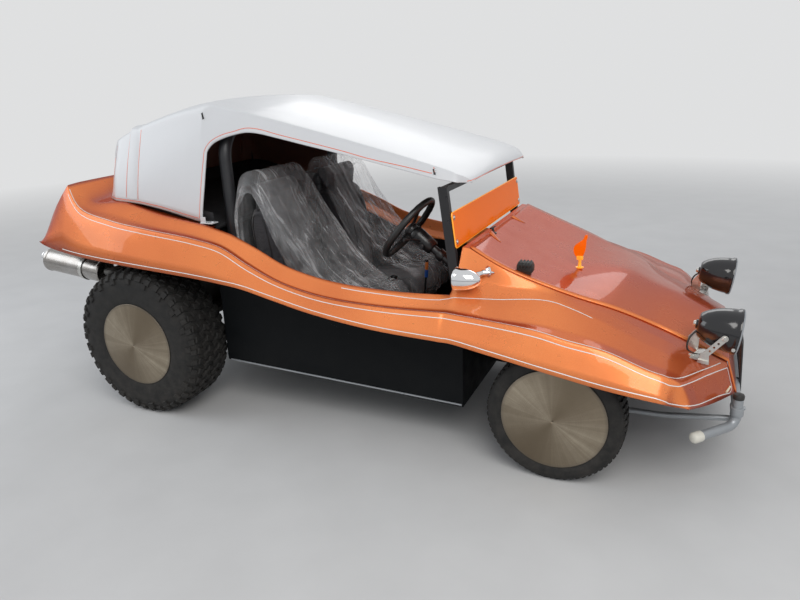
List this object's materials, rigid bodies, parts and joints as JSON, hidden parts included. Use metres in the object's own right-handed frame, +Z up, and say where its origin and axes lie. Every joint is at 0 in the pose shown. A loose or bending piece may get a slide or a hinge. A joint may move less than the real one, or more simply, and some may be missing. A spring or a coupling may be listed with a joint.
{
  "type": "dune buggy",
  "caption": "Open-sided beach car with a one-piece wing body, lift-off bonnet, hard top, wide rear wheels and steered narrow front wheels.",
  "frame": {"origin": "on the ground, half-way along the whole length, on the centre line", "axes": "+X forward, +Y to the left, +Z up"},
  "size_m": [3.5, 1.6486, 1.516],
  "materials": {
    "body_paint": "gloss orange metal flake",
    "roof_white": "gloss white",
    "black_panel": "satin black",
    "frame_black": "satin black",
    "amber": "tinted acrylic",
    "seat_cloth": "dark cloth",
    "wheel_rubber": "grained",
    "bright": "polished",
    "steel_bar": "silver grey paint",
    "lamp_black": "gloss black",
    "bracket_steel": "zinc plated",
    "tail_red": "red lens",
    "tyre": "dusty rubber",
    "rim": "satin black",
    "disc": "spun, dulled",
    "running_gear": "black paint",
    "alloy": "cast"
  },
  "bodies": {
    "body": {"body_shell": "body_paint", "bonnet": "body_paint", "bonnet_catch": "wheel_rubber", "bonnet_fin": "amber", "hardtop": "roof_white", "floor_pan": "black_panel", "side_boards": "black_panel", "bulkhead": "black_panel", "screen_frame": "frame_black", "wind_deflector": "amber", "roll_hoop": "frame_black", "dashboard": "body_paint", "steering_column": "frame_black", "levers": "frame_black", "mirror": "bright", "front_axle": "running_gear", "rear_axle": "running_gear", "gearbox": "alloy", "engine": "alloy", "exhausts": "bright", "front_bumper": "steel_bar", "grille": "frame_black", "headlamps": "lamp_black", "lamp_brackets": "bracket_steel", "tail_lamps": "tail_red", "seat_base_right": "seat_cloth", "seat_back_right": "seat_cloth", "seat_base_left": "seat_cloth", "seat_back_left": "seat_cloth"},
    "steering_wheel": {"steering_wheel": "wheel_rubber"},
    "track_rod": {"track_rod": "running_gear"},
    "knuckle_right": {"knuckle_right": "running_gear"},
    "wheel_front_right": {"tyre_front_right": "tyre", "rim_front_right": "rim", "disc_front_right": "disc"},
    "wheel_rear_right": {"tyre_rear_right": "tyre", "rim_rear_right": "rim", "disc_rear_right": "disc"},
    "knuckle_left": {"knuckle_left": "running_gear"},
    "wheel_front_left": {"tyre_front_left": "tyre", "rim_front_left": "rim", "disc_front_left": "disc"},
    "wheel_rear_left": {"tyre_rear_left": "tyre", "rim_rear_left": "rim", "disc_rear_left": "disc"}
  },
  "joints": [
    {"name": "steer_right", "type": "hinge", "parent": "body", "child": "knuckle_right", "pos_m": [1.066, -0.562, 0.275], "axis": [0, 0, 1], "range_deg": [-30, 30]},
    {"name": "roll_front_right", "type": "hinge", "parent": "knuckle_right", "child": "wheel_front_right", "pos_m": [1.066, -0.632, 0.275], "axis": [0, 1, 0], "continuous": true},
    {"name": "roll_rear_right", "type": "hinge", "parent": "body", "child": "wheel_rear_right", "pos_m": [-0.966, -0.678, 0.372], "axis": [0, 1, 0], "continuous": true},
    {"name": "steer_left", "type": "hinge", "parent": "body", "child": "knuckle_left", "pos_m": [1.066, 0.562, 0.275], "axis": [0, 0, 1], "range_deg": [-30, 30]},
    {"name": "roll_front_left", "type": "hinge", "parent": "knuckle_left", "child": "wheel_front_left", "pos_m": [1.066, 0.632, 0.275], "axis": [0, 1, 0], "continuous": true},
    {"name": "roll_rear_left", "type": "hinge", "parent": "body", "child": "wheel_rear_left", "pos_m": [-0.966, 0.678, 0.372], "axis": [0, 1, 0], "continuous": true},
    {"name": "track_rod_slide", "type": "slide", "parent": "body", "child": "track_rod", "axis": [0, 1, 0], "range_m": [-0.06, 0.06]},
    {"name": "steering_turn", "type": "hinge", "parent": "body", "child": "steering_wheel", "pos_m": [0.33, -0.36, 0.934], "axis": [-0.788, 0, 0.6157], "range_deg": [-420, 420]}
  ],
  "couplings": [
    {"joint": "steer_left", "follows": "steer_right", "ratio": 1},
    {"joint": "steering_turn", "follows": "steer_right", "ratio": 14},
    {"joint": "track_rod_slide", "follows": "steer_right", "m_per_rad": -0.105}
  ]
}
